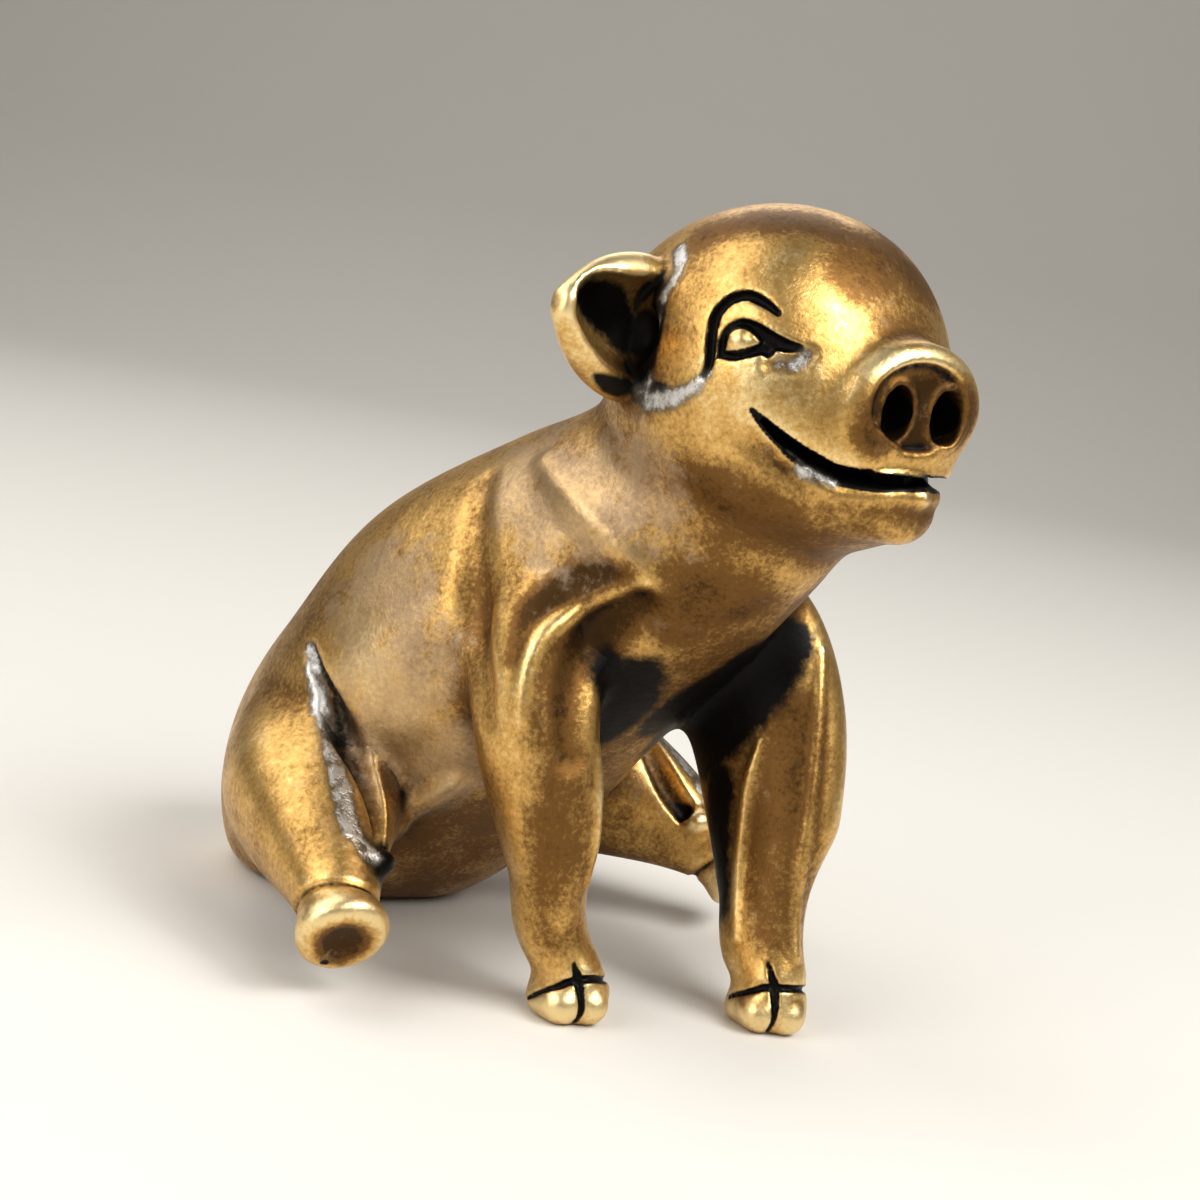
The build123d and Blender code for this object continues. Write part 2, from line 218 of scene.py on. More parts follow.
def line_distance(grid, points, radii):
    """Distance of grid points from the nearest place on a line of beads, less the radius there."""
    found = np.full(grid.shape[:3], FAR, np.float32)
    for a, b, r, q in zip(points[:-1], points[1:], radii[:-1], radii[1:]):
        way = b - a
        share = np.clip((grid - a) @ way / max(way @ way, 1e-9), 0, 1)
        gap = np.linalg.norm(grid - a - share[..., None] * way, axis=-1)
        found = np.minimum(found, gap - r - share * (q - r))
    return found


# %% [markdown]
# The tail is a small curl that lies flat on the rump. The casting ends in a blunt stump, and the tip winds
# on from there, thinning towards the middle of the curl. A curve object with a taper would do, but would
# stay apart from the stump. A line of beads on a spiral is blended into it before the castings are joined.

# %% The tip of the tail
TAIL_MIDDLE = np.array([0.0, 6.78, 8.69])
TAIL_LEAN = math.radians(18.7)
# turn in degrees, distance from the middle and radius
TAIL_TIP = [(290, 1.6, 0.62), (312, 1.32, 0.54), (336, 0.95, 0.44), (360, 0.6, 0.33), (400, 0.32, 0.2)]
TAIL_BLEND = 0.1
tail_left = np.array([1, 0, 0])
tail_down = np.array([0, math.sin(TAIL_LEAN), -math.cos(TAIL_LEAN)])
degrees, reach, radius = np.array(TAIL_TIP).T[..., None]
wound = np.cos(np.radians(degrees)) * tail_left + np.sin(np.radians(degrees)) * tail_down
tip = smooth_path(np.hstack([TAIL_MIDDLE + reach * wound, radius]))
start, field = castings["tail"]
whorl = line_distance(grid_of(window(start, field.shape)), tip[:, :3], tip[:, 3])
castings["tail"] = start, smooth_min(field, whorl, TAIL_BLEND)
print("tail tip of", len(tip), "beads")

# %% [markdown]
# The skin is the blend of all nine fields. A Boolean union would meet in creases where braze fills the
# corner. Two more arrays keep the distances of the nearest and the second nearest casting at each grid
# point, so that the skin can be parted again where the castings really meet.

# %% One skin over all of them
skin = np.full(last - first, BAND, np.float32)
nearest = np.full(last - first, BAND, np.float32)
second = np.full(last - first, BAND, np.float32)
for name, (start, field) in castings.items():
    part = window(start, field.shape)
    skin[part] = smooth_min(skin[part], field, FORMS[name][1])
    second[part] = np.minimum(second[part], np.maximum(nearest[part], field))
    nearest[part] = np.minimum(nearest[part], field)
print("skin volume", round(float((skin < 0).sum() * GRID**3)), "mm3")


# %% [markdown]
# A caster's wax is worked with a few tools: a loop that cuts grooves, a bead that is laid on, a ball that
# is pressed in. The same tools work on the skin here. A stroke is a smooth line through a few places, moved
# onto the skin, and cuts a groove of its own radius or raises a bead. Places are in millimetres and mostly
# on the pig's right side, and the left side repeats them mirrored.

# %% Tools that work on the skin
# passes and share of the way that take a point onto the skin
PRESSES, PRESS_SHARE = 6, 0.9


def sampled(field, points):
    """Values between grid points: the eight round a place, each weighed by how near it is."""
    spots = points / GRID - first
    base = np.clip(np.floor(spots).astype(int), 0, np.array(field.shape) - 2)
    share = spots - base
    total = np.zeros(len(points))
    for corner in np.ndindex(2, 2, 2):
        weight = np.prod(np.where(corner, share, 1 - share), axis=1)
        total += weight * field[tuple((base + corner).T)]
    return total


def normals_at(points):
    """Unit directions straight out of the skin: how the distance grows along each axis."""
    steps = np.identity(3) * GRID
    slopes = np.stack([sampled(skin, points + s) - sampled(skin, points - s) for s in steps], axis=1)
    return slopes / np.linalg.norm(slopes, axis=1, keepdims=True)


def onto_skin(points):
    """The same points moved onto the skin, along its normals by most of the distance in each pass."""
    for _ in range(PRESSES):
        points = points - PRESS_SHARE * sampled(skin, points)[:, None] * normals_at(points)
    return points


def region(points, margin):
    """Slices of the grid round some points, and the places of the grid points in them."""
    low = np.floor((points.min(0) - margin) / GRID).astype(int) - first
    high = np.ceil((points.max(0) + margin) / GRID).astype(int) - first + 1
    part = tuple(map(slice, np.clip(low, 0, skin.shape), np.clip(high, 0, skin.shape)))
    return part, grid_of(part)


def carve(part, gap, soft, cut=True):
    """Cuts a shape out of the skin or adds it, by its distances, with a fillet of the soft width."""
    if cut:
        skin[part] = -smooth_min(-skin[part], gap, soft)
    else:
        skin[part] = smooth_min(skin[part], gap, soft)


# %% Strokes
blackened = []


def stroke(places, sink=0.0, soft=0.15, cut=True, black=0.0):
    """Cuts a groove or raises a bead along a line of x, y, z and radius, sunk below the skin.

    With several sinks it goes deeper. Black is how far past its radius a groove keeps its black."""
    line = smooth_path(places)
    radii = line[:, 3]
    top = onto_skin(line[:, :3])
    inward = -normals_at(top)
    if black:
        blackened.extend((top + depth * inward, radii + black) for depth in np.atleast_1d(sink))
    for depth in np.atleast_1d(sink):
        points = top + depth * inward
        part, grid = region(points, radii.max() + soft + 2 * GRID)
        carve(part, line_distance(grid, points, radii), soft, cut)


def ring(centre, one_half, other_half, radius, count):
    """Places round an oval: its centre, plus its half axes times the cosine and the sine of a turn."""
    turns = np.linspace(0, 2 * np.pi, count)[:, None]
    places = centre + np.cos(turns) * one_half + np.sin(turns) * other_half
    return np.column_stack([places, np.full(count, radius)])


# %% Eggs, dents and swellings
DENT_SOFT = 0.25


def egg_distance(grid, centre, radii, axes):
    """Nearly the distance from an egg: how far out a place lies, divided by how fast that grows."""
    local = (grid - np.array(centre)) @ np.array(axes, float).T / np.array(radii)
    size = np.linalg.norm(local, axis=-1)
    slope = np.linalg.norm(local / np.array(radii), axis=-1)
    return size * (size - 1) / np.maximum(slope, 1e-6)


def egg(centre, radii, soft=0.3, cut=True, axes=np.identity(3)):
    """Cuts or adds an egg with those half lengths along three axes."""
    part, grid = region(np.array([centre], float), max(radii) + soft + 2 * GRID)
    carve(part, egg_distance(grid, centre, radii, axes), soft, cut)


def dent(place, radius, depth):
    """Presses a ball of that radius into the skin to a depth."""
    point = onto_skin(np.array([place], float))
    centre = point + (radius - depth) * normals_at(point)
    egg(centre[0], (radius,) * 3, soft=DENT_SOFT)


def swell(centre, radii, height):
    """Lifts the skin in an egg-shaped region: one less the squared distance from its middle, squared."""
    part, grid = region(np.array([centre], float), max(radii))
    away = np.linalg.norm((grid - np.array(centre)) / np.array(radii), axis=-1)
    skin[part] -= height * np.maximum(1 - away**2, 0) ** 2


def mirror(places):
    """The same places on the pig's left side."""
    return [(-x, *rest) for x, *rest in places]


def both(places):
    """The places as given, and on the pig's left side."""
    return [places, mirror(places)]


# %% [markdown]
# A pig's nose is a flat disc, and on this casting it is turned a little to the pig's right. Two deep
# nostrils with raised rims sit in a shallow dish. A bevelled cylinder would look machined, so the disc is
# an oval with its edge rounded in the field, and it melts into the snout behind it.

# %% The nose disc
FACE = np.array([-0.72, -26.1, 28.0])
FACE_TURN = math.radians(12)
SNOUT_REACH = 4.4
DISC_HALF_WIDTH, DISC_HALF_HEIGHT, DISC_HALF_DEPTH, DISC_EDGE, DISC_BLEND = 3.1, 2.4, 0.95, 0.7, 0.8
# the snout of the casting is cut back to the face of the disc, down to the upper lip
LIP_TOP, LIP_BLEND = 25.6, 0.9
DISH_DEPTH, DISH_SLOPE, DISH_BLEND = 0.22, 1.8, 0.3

ahead = np.array([-math.sin(FACE_TURN), -math.cos(FACE_TURN), 0.0])
lateral = np.array([math.cos(FACE_TURN), -math.sin(FACE_TURN), 0.0])
part, grid = region(FACE[None], SNOUT_REACH)
local = grid - FACE
forward, across, climb = local @ ahead, local @ lateral, local[..., 2]
carve(part, np.maximum(-forward, LIP_TOP - grid[..., 2]), LIP_BLEND)
# distance from a rounded disc: out from its rim and out from its faces, less the rounding
oval = np.hypot(across / DISC_HALF_WIDTH, climb / DISC_HALF_HEIGHT)
radial = (oval - 1) * DISC_HALF_HEIGHT + DISC_EDGE
axial = np.abs(forward + DISC_HALF_DEPTH) - DISC_HALF_DEPTH + DISC_EDGE
past_edge = np.hypot(np.maximum(radial, 0), np.maximum(axial, 0))
carve(part, past_edge + np.minimum(np.maximum(radial, axial), 0) - DISC_EDGE, DISC_BLEND, cut=False)
dish = np.hypot(across / (DISC_HALF_WIDTH - DISC_EDGE), climb / (DISC_HALF_HEIGHT - DISC_EDGE)) - 1
carve(part, np.maximum(dish * DISH_SLOPE, -forward - DISH_DEPTH), DISH_BLEND)
print("nose disc", 2 * DISC_HALF_WIDTH, "mm wide")

# %% The nostrils
NOSTRIL_SHIFT, NOSTRIL_DROP, NOSTRIL_OUT = 0.3, 0.3, 1.27
NOSTRIL_HALF_WIDTH, NOSTRIL_HALF_HEIGHT, NOSTRIL_HALF_DEPTH = 0.9, 1.18, 1.6
RIM_RADIUS, RIM_WALL, HOLE_SINK = 0.2, 0.1, 0.3
# how deep in a nostril its black starts and ends, and how wide it is there
BLACK_DEPTHS, BLACK_RADII = np.array([[1.6], [0.55]]), np.array([1.0, 0.85])
UPWARDS = np.array([0.0, 0.0, 1.0])
for side in (-1, 1):
    centre = FACE + (NOSTRIL_SHIFT + side * NOSTRIL_OUT) * lateral - NOSTRIL_DROP * UPWARDS
    rim = ring(centre, NOSTRIL_HALF_WIDTH * lateral, NOSTRIL_HALF_HEIGHT * UPWARDS, RIM_RADIUS, 13)
    stroke(rim, sink=0.06, soft=0.12, cut=False)
    hole = (NOSTRIL_HALF_WIDTH - RIM_WALL, NOSTRIL_HALF_DEPTH, NOSTRIL_HALF_HEIGHT - RIM_WALL)
    egg(centre - HOLE_SINK * ahead, hole, soft=0.08, axes=(lateral, -ahead, UPWARDS))
    blackened.append((centre - BLACK_DEPTHS * ahead, BLACK_RADII))
print("nostrils", 2 * NOSTRIL_OUT, "mm apart")

# %% [markdown]
# The smile runs round the jaw as one deep slit, widest half way to the corner, with a full lower lip under
# it. A Boolean cut would leave sharp walls of one width. A stroke that is sunk four times gives a slit
# whose gape follows its radii, and a bead laid below it gives the lip.

# %% The smile
# x, y, z and half the gape from the corner to the middle of the lips
SMILE = [
    (-5.95, -22.1, 26.9, 0.04),
    (-5.5, -22.7, 26.35, 0.20),
    (-4.9, -23.3, 25.85, 0.30),
    (-4.2, -23.95, 25.4, 0.37),
    (-3.3, -24.75, 25.0, 0.38),
    (-2.4, -25.6, 24.95, 0.32),
    (-1.2, -26.3, 25.05, 0.27),
    (0.0, -26.6, 25.05, 0.25),
]
SLIT_DEPTHS = (0.0, 0.3, 0.6, 0.9)
LIP_DROP, LIP_RADIUS = 0.32, 0.3
LIP = [(x, y, z - gape - LIP_DROP, LIP_RADIUS) for x, y, z, gape in SMILE[2:]]
for line in both(SMILE):
    stroke(line, sink=SLIT_DEPTHS, soft=0.06, black=0.04)
for line in both(LIP):
    stroke(line, sink=0.14, soft=0.35, cut=False)
print("smile", SLIT_DEPTHS[-1], "mm deep")

# %% [markdown]
# Each eye is drawn in the wax: a brow that sweeps round the socket, an upper and a lower lid that meet in a
# long inner corner, and a round eyeball between them. Modelled lids with thickness would be too fine for a
# casting of this size, so grooves filled with black do it, and the eyeball is a single raised bead.

# %% The eyes
BROW = [
    (-5.44, -22.1, 30.7, 0.08),
    (-5.64, -21.5, 31.0, 0.15),
    (-5.9, -20.8, 31.15, 0.17),
    (-6.2, -20.2, 30.8, 0.17),
    (-6.46, -19.9, 30.1, 0.18),
    (-6.59, -20.0, 29.2, 0.17),
    (-6.64, -20.15, 28.35, 0.14),
    (-6.6, -20.0, 27.8, 0.10),
]
UPPER_LID = [
    (-6.46, -20.5, 28.75, 0.08),
    (-6.4, -20.5, 29.2, 0.14),
    (-6.25, -20.6, 29.7, 0.15),
    (-6.0, -20.98, 30.02, 0.15),
    (-5.75, -21.45, 29.95, 0.18),
    (-5.68, -22.0, 29.72, 0.26),
    (-5.4, -22.5, 29.55, 0.24),
    (-4.95, -23.1, 29.55, 0.08),
]
LOWER_LID = [
    (-6.46, -20.5, 28.75, 0.08),
    (-6.3, -21.0, 28.8, 0.14),
    (-6.05, -21.45, 28.98, 0.14),
    (-5.9, -21.85, 29.2, 0.17),
    (-5.7, -22.2, 29.5, 0.24),
]
EYEBALL = (-6.17, -21.05, 29.42, 0.66)
INNER_CORNER = [(-5.75, -22.4, 28.75, 0.3), (-5.2, -23.05, 28.95, 0.4), (-4.8, -23.4, 29.35, 0.3)]
LID_DEPTHS = (0.0, 0.14)
for side in (0, 1):
    for places in (BROW, UPPER_LID, LOWER_LID):
        stroke(both(places)[side], sink=LID_DEPTHS, soft=0.07, black=0.03)
    stroke(both([EYEBALL, EYEBALL])[side], sink=0.44, soft=0.06, cut=False)
    stroke(both(INNER_CORNER)[side], sink=-0.15, soft=0.3)
print("eyeballs", 2 * EYEBALL[3], "mm across")

# %% [markdown]
# The ears are leaves with a hollow front and a rim that catches the light. A Solidify modifier on a bent
# sheet would give an even wall, while the casting has a thick root and a thin edge. So an egg is scooped
# out of the front, with its long axis from near the tip of the ear down to its root.

# %% The ears
EAR_HOLLOW, EAR_SCOOP = (-8.0, -16.35, 29.4), (2.4, 1.5, 1.15)
EAR_SLOPE = math.radians(25)
ear_long = np.array([math.cos(EAR_SLOPE), 0, -math.sin(EAR_SLOPE)])
ear_wide = np.array([math.sin(EAR_SLOPE), 0, math.cos(EAR_SLOPE)])
for flip in ((1, 1, 1), (-1, 1, 1)):
    egg(np.multiply(flip, EAR_HOLLOW), EAR_SCOOP, soft=0.3,
        axes=np.multiply(flip, (ear_long, ear_wide, (0, 1, 0))))
print("ear hollows", 2 * EAR_SCOOP[0], "mm long")

# %% [markdown]
# The fore hooves are cloven: a cleft in front parts two round toes, and a groove, the coronet, runs round
# the leg above them. The two forelegs stand differently, so each hoof has its own lines. They are strokes,
# as on the face, and the toes are small eggs added before the grooves are cut.

# %% Hooves
RIGHT_CORONET = [
    (-5.4, -15.6, 0.6, 0.04),
    (-5.57, -16.7, 1.4, 0.08),
    (-5.28, -17.4, 1.9, 0.11),
    (-4.5, -17.9, 2.15, 0.12),
    (-3.4, -17.9, 2.0, 0.11),
    (-2.6, -17.1, 1.6, 0.08),
    (-2.4, -15.9, 0.9, 0.04),
]
RIGHT_CLEFT = [
    (-5.05, -17.4, 2.75, 0.04),
    (-4.95, -17.8, 2.0, 0.15),
    (-4.85, -18.1, 1.0, 0.08),
    (-4.8, -17.9, -0.2, 0.06),
]
LEFT_CORONET = [
    (2.86, -19.8, 1.0, 0.04),
    (2.5, -21.0, 1.75, 0.08),
    (2.75, -21.7, 2.15, 0.11),
    (3.7, -22.4, 2.2, 0.12),
    (4.8, -22.3, 2.0, 0.11),
    (5.5, -21.4, 1.5, 0.08),
    (5.6, -20.2, 0.8, 0.04),
]
LEFT_CLEFT = [
    (2.93, -21.4, 3.1, 0.04),
    (2.9, -22.0, 2.1, 0.15),
    (2.85, -22.3, 1.0, 0.08),
    (2.9, -22.2, -0.2, 0.06),
]
RIGHT_TOES = [(-5.05, -17.0, 0.85), (-3.95, -17.55, 0.85)]
LEFT_TOES = [(2.95, -21.3, 0.85), (3.95, -22.0, 0.85)]
# the legs narrow above the hooves on the side towards the front left, and are fuller behind
RIGHT_PASTERN, LEFT_PASTERN, PASTERN_RADII = (-3.4, -17.1, 5.0), (5.8, -21.5, 5.4), (2.6, 2.6, 4.0)
RIGHT_HEEL, LEFT_HEEL, HEEL_RADII = (-5.7, -14.5, 3.2), (3.5, -18.9, 3.0), (2.2, 2.2, 3.0)
PASTERN_RISE, RIGHT_HEEL_RISE, LEFT_HEEL_RISE = -0.6, 0.5, 0.35
TOE_RADII = (0.85, 0.95, 0.85)
HOOF_DEPTHS = (0.0, 0.1)
for place in (RIGHT_PASTERN, LEFT_PASTERN):
    swell(place, PASTERN_RADII, PASTERN_RISE)
swell(RIGHT_HEEL, HEEL_RADII, RIGHT_HEEL_RISE)
swell(LEFT_HEEL, HEEL_RADII, LEFT_HEEL_RISE)
for toe in RIGHT_TOES + LEFT_TOES:
    egg(toe, TOE_RADII, soft=0.2, cut=False)
for line in (RIGHT_CORONET, LEFT_CORONET, RIGHT_CLEFT, LEFT_CLEFT):
    stroke(line, sink=HOOF_DEPTHS, soft=0.1, black=0.02)
print("hooves with", len(RIGHT_TOES + LEFT_TOES), "toes")

# %% [markdown]
# A sitting pig folds where it bends: a collar behind the head, a hollow down the flank, an edge round the
# shoulder, a crease between thigh and belly and a fold under it. Sculpting by brush could give these, but
# not the same way twice. Wide, soft strokes do, and a swelling fills out the back above them.

# %% Folds of the body
SHOULDER_EDGE = [
    (-4.85, -17.65, 19.16, 0.15),
    (-5.3, -16.56, 18.4, 0.35),
    (-6.1, -15.3, 17.35, 0.42),
    (-7.04, -14.95, 16.65, 0.45),
    (-7.7, -14.8, 15.8, 0.45),
    (-8.2, -14.9, 14.4, 0.4),
    (-8.3, -15.1, 12.8, 0.3),
]
SHOULDER_VALLEY = [
    (-4.9, -17.2, 17.8, 1.0),
    (-5.6, -16.6, 16.6, 1.2),
    (-6.3, -16.4, 15.2, 1.2),
    (-6.7, -16.4, 13.6, 1.1),
    (-6.6, -16.6, 11.8, 0.9),
]
THIGH_CREASE = [
    (-9.2, -2.9, 12.6, 0.15),
    (-9.4, -4.4, 11.4, 0.3),
    (-9.4, -5.8, 10.0, 0.45),
    (-9.3, -7.4, 8.4, 0.55),
    (-9.4, -9.0, 7.0, 0.55),
    (-9.8, -10.4, 5.8, 0.4),
]
BELLY_FOLD = [(-6.3, -6.7, 5.4, 0.3), (-5.9, -8.0, 6.9, 0.55), (-5.5, -9.3, 8.1, 0.35)]
COLLAR = [
    (-5.34, -11.3, 22.73, 0.3),
    (-6.05, -14.96, 21.02, 0.55),
    (-5.41, -16.89, 19.81, 0.55),
    (-4.61, -17.69, 18.75, 0.3),
]
FLANK = [
    (-5.86, -8.52, 21.2, 0.3),
    (-7.39, -10.17, 18.24, 0.6),
    (-7.74, -11.19, 15.92, 0.7),
    (-8.49, -12.81, 13.81, 0.6),
    (-8.61, -13.62, 12.35, 0.3),
]
UPPER_BACK, UPPER_BACK_RADII, UPPER_BACK_RISE = (-3.5, -1.8, 17.6), (6.0, 7.5, 7.5), 0.75
CREASE_DEPTHS = (0.0, 0.25)
for place in both([UPPER_BACK]):
    swell(place[0], UPPER_BACK_RADII, UPPER_BACK_RISE)
for line in both(COLLAR):
    stroke(line, sink=0.3, soft=0.8, cut=False)
for line in both(FLANK):
    stroke(line, sink=-0.3, soft=0.8)
stroke(SHOULDER_VALLEY, sink=-0.6, soft=0.8)
stroke(SHOULDER_EDGE, sink=0.1, soft=0.4, cut=False)
for line in both(THIGH_CREASE):
    stroke(line, sink=CREASE_DEPTHS, soft=0.4, black=-0.1)
for line in both(BELLY_FOLD):
    stroke(line, sink=0.2, soft=0.8, cut=False)
print("skin volume with folds", round(float((skin < 0).sum() * GRID**3)), "mm3")

# %% [markdown]
# Filing has left faint edges down the fronts of the forelegs. A bump pattern could fake them, but would be
# lost in the export. They are thin beads, nearly sunk, so that they only show where light runs along them.

# %% Ridges down the forelegs
LEFT_LEG_EDGE = [
    (3.6, -18.2, 12.0, 0.15),
    (3.6, -18.15, 10.9, 0.3),
    (3.45, -18.2, 9.4, 0.3),
    (3.3, -18.8, 6.0, 0.28),
    (3.1, -19.6, 3.6, 0.15),
]
LEFT_LEG_FRONT = [
    (5.6, -19.1, 16.3, 0.2),
    (4.9, -20.3, 12.2, 0.3),
    (4.1, -21.4, 6.8, 0.3),
    (3.9, -21.9, 3.5, 0.2),
]
RIGHT_LEG_EDGE = [
    (-4.9, -16.8, 12.0, 0.15),
    (-4.95, -16.9, 10.5, 0.3),
    (-4.95, -17.1, 8.9, 0.3),
    (-4.6, -17.3, 6.0, 0.2),
]
for line in (LEFT_LEG_EDGE, LEFT_LEG_FRONT, RIGHT_LEG_EDGE):
    stroke(line, sink=0.06, soft=0.25, cut=False)
print("ridges raised down the forelegs")

# %% [markdown]
# The hind feet stick out and show round soles. A groove runs round each ankle, the sole is slightly dished
# with a small pit in it, and a lump marks the hock where the leg leaves the belly. Cylinders for ankle and
# sole would look turned on a lathe, and the tools above are enough for all four.

# %% Hind feet
HIND_ANKLE, HIND_SOLE = np.array([-12.2, -10.8, 4.0]), np.array([-13.1, -12.1, 2.8])
ANKLE_RADIUS, ANKLE_GROOVE = 1.7, 0.16
SOLE_BALL, SOLE_DEPTH = 2.4, 0.22
SOLE_PIT = [(-13.35, -11.3, 1.7, 0.1), (-13.3, -11.3, 1.7, 0.1)]
HOCK, HOCK_RADII = (-10.4, -10.5, 5.4), (0.75, 0.6, 0.6)
shin = (HIND_SOLE - HIND_ANKLE) / np.linalg.norm(HIND_SOLE - HIND_ANKLE)
aside = np.cross(shin, UPWARDS) / np.linalg.norm(np.cross(shin, UPWARDS))
above = np.cross(aside, shin)
for line in both(ring(HIND_ANKLE, ANKLE_RADIUS * aside, ANKLE_RADIUS * above, ANKLE_GROOVE, 17)):
    stroke(line, soft=0.2)
for sole, pit, hock in zip(both([tuple(HIND_SOLE)]), both(SOLE_PIT), both([HOCK])):
    dent(sole[0], SOLE_BALL, SOLE_DEPTH)
    stroke(pit, black=0.03)
    egg(hock[0], HOCK_RADII, soft=0.4, cut=False)
print("hind ankles", 2 * ANKLE_RADIUS, "mm across")

# %% [markdown]
# Antiquing blackens a casting all over and then polishes it again, so colour follows shape. How much metal
# lies round a place, close by and further off, tells grooves and hollows from high places. Blender's
# Pointiness would need as many mesh points and is lost in the export, and a blur of the grid gives the same
# as plain numbers.

# %% Where polishing reaches
# widths of the two blurs in millimetres
FINE, BROAD = 0.25, 1.1
metal = np.clip(0.5 - skin / (2 * GRID), 0, 1).astype(np.float32)
fine_metal = blur(metal, FINE)
broad_metal = blur(metal, BROAD)
print("share of metal close to the skin", round(float(fine_metal[np.abs(skin) < GRID].mean()), 2))

# %% [markdown]
# Wear also has a history that shape alone can't tell: soot in corners that no buffing wheel reaches, grey
# filler along the joints, patina where the wheel passed over, on the soles and at the root of the ears.
# Painted light is laid on the same way: painted shade between the legs, under the jaw and in the shoulder,
# painted dark reflections on the crown, the nose and the fronts of the forelegs, painted highlights at the
# eyes and the lip, and painted reflections that lighten the belly and the cheeks. Each is a line of beads
# with a soft edge, as x, y, z and radius. An image could be painted instead, but would need an unwrapped
# mesh.

# %% Black corners, and painted shade between the legs
# black patina in the armpits, and painted shade on the inner faces of the forelegs, between the legs and by
# the hock
ARMPITS = [
    [(-2.8, -16.2, 15.0, 0.6), (-2.2, -15.2, 13.4, 1.0), (-2.2, -14.2, 11.9, 1.0), (-2.8, -13.0, 10.4, 0.7)],
    [(-4.4, -15.8, 14.8, 0.5), (-3.9, -14.9, 13.0, 0.8), (-3.8, -14.0, 11.0, 0.8)],
    [(4.3, -18.3, 16.4, 0.7), (3.5, -17.2, 14.6, 1.3), (3.5, -15.6, 12.6, 1.6), (3.8, -14.2, 10.8, 1.4)],
    [(1.6, -18.0, 16.0, 0.6), (1.5, -16.6, 14.2, 1.1), (1.2, -15.0, 12.6, 1.1)],
    [(3.6, -16.4, 9.5, 0.6), (3.6, -17.0, 6.5, 0.5), (3.5, -18.0, 4.5, 0.3)],
    [(-10.4, -10.6, 5.4, 0.5), (-9.6, -10.2, 5.2, 0.5)],
]
EAR_SOOT = [
    [(-9.5, -16.2, 30.0, 0.5), (-8.8, -16.1, 29.9, 0.8), (-7.7, -16.1, 29.5, 1.0), (-6.7, -16.2, 28.9, 0.9)],
    [
        (-8.6, -16.3, 27.0, 0.0), (-7.9, -16.3, 26.8, 0.2), (-7.3, -16.4, 26.6, 0.3),
        (-6.7, -17.2, 26.6, 0.4), (-6.6, -18.2, 27.0, 0.1),
    ],
    [(-6.0, -16.4, 31.2, 0.1), (-6.4, -16.9, 30.0, 0.3), (-6.5, -17.1, 28.5, 0.4), (-6.5, -16.8, 27.2, 0.3)],
]


def lines_of(groups):
    """Smooth lines through each group of places, as points and radii."""
    made = [smooth_path(places) for places in groups]
    return [(line[:, :3], line[:, 3]) for line in made]


def pairs(groups):
    """Each group of places as given, and on the pig's left side."""
    return [places for group in groups for places in both(group)]


armpit_lines = lines_of(ARMPITS)
ear_lines = lines_of(pairs(EAR_SOOT))
print(len(armpit_lines) + len(ear_lines) + len(blackened), "black lines")

# %% Grey filler and painted glints
# along the joints of the ears and the thighs, and painted highlights in the corners of the eyes and under the
# lip
EAR_SEAM = [
    [(-5.3, -16.5, 32.3, 0.2), (-5.9, -17.2, 31.6, 0.2), (-6.3, -17.1, 30.6, 0.1), (-6.4, -17.1, 29.2, 0.0)],
    [(-6.6, -17.4, 27.2, 0.0), (-6.5, -17.0, 26.4, 0.2), (-6.6, -18.4, 26.5, 0.25)],
    [(-6.6, -18.4, 26.6, 0.25), (-6.65, -19.5, 27.2, 0.1), (-6.6, -20.2, 28.0, 0.0)],
]
THIGH_SEAM = [
    (-8.9, -2.7, 12.5, 0.1), (-9.4, -4.0, 11.1, 0.2), (-9.6, -5.2, 9.7, 0.25),
    (-10.8, -7.8, 8.2, 0.3), (-11.4, -9.5, 6.9, 0.3), (-11.2, -10.6, 5.9, 0.35),
]
EYE_GLINT = [(-5.5, -22.7, 28.85, 0.1), (-5.15, -23.1, 29.0, 0.15), (-4.85, -23.4, 29.35, 0.1)]
LIP_GLINT = [(-4.4, -23.6, 25.0, 0.0), (-3.9, -24.0, 24.8, 0.1), (-3.3, -24.5, 24.65, 0.0)]
filler_lines = lines_of(pairs([*EAR_SEAM, THIGH_SEAM, EYE_GLINT, LIP_GLINT]))
print(len(filler_lines), "lines of filler")

# %% Painted shade, painted reflections and patina
# painted shade under the jaw, on the chin, in the shoulder and on the throat, and a painted dark reflection
# on the crown
PAINTED_SHADE_AND_REFLECTION = [
    [(-5.6, -19.5, 23.6, 0.4), (-4.9, -21.6, 23.1, 0.8), (-4.1, -23.2, 23.0, 0.5)],
    [
        (-5.0, -17.4, 33.1, 0.2), (-4.0, -18.9, 33.9, 0.3), (-2.9, -20.3, 34.2, 0.3),
        (-1.0, -22.0, 33.9, 0.4), (0.8, -22.6, 33.3, 0.5), (2.6, -22.9, 32.5, 0.5),
    ],
    [(-3.2, -24.8, 23.4, 0.3), (-2.06, -25.71, 23.4, 0.5), (-0.8, -26.3, 23.4, 0.5)],
    [
        (-4.4, -17.0, 17.8, 0.4), (-4.7, -15.9, 16.8, 0.6), (-6.1, -15.5, 15.7, 0.7),
        (-7.3, -15.8, 14.2, 0.7), (-7.5, -16.2, 12.2, 0.5),
    ],
    [(-3.4, -18.4, 17.6, 0.9), (-3.2, -19.0, 19.0, 1.0), (-2.2, -20.2, 19.0, 1.0)],
]
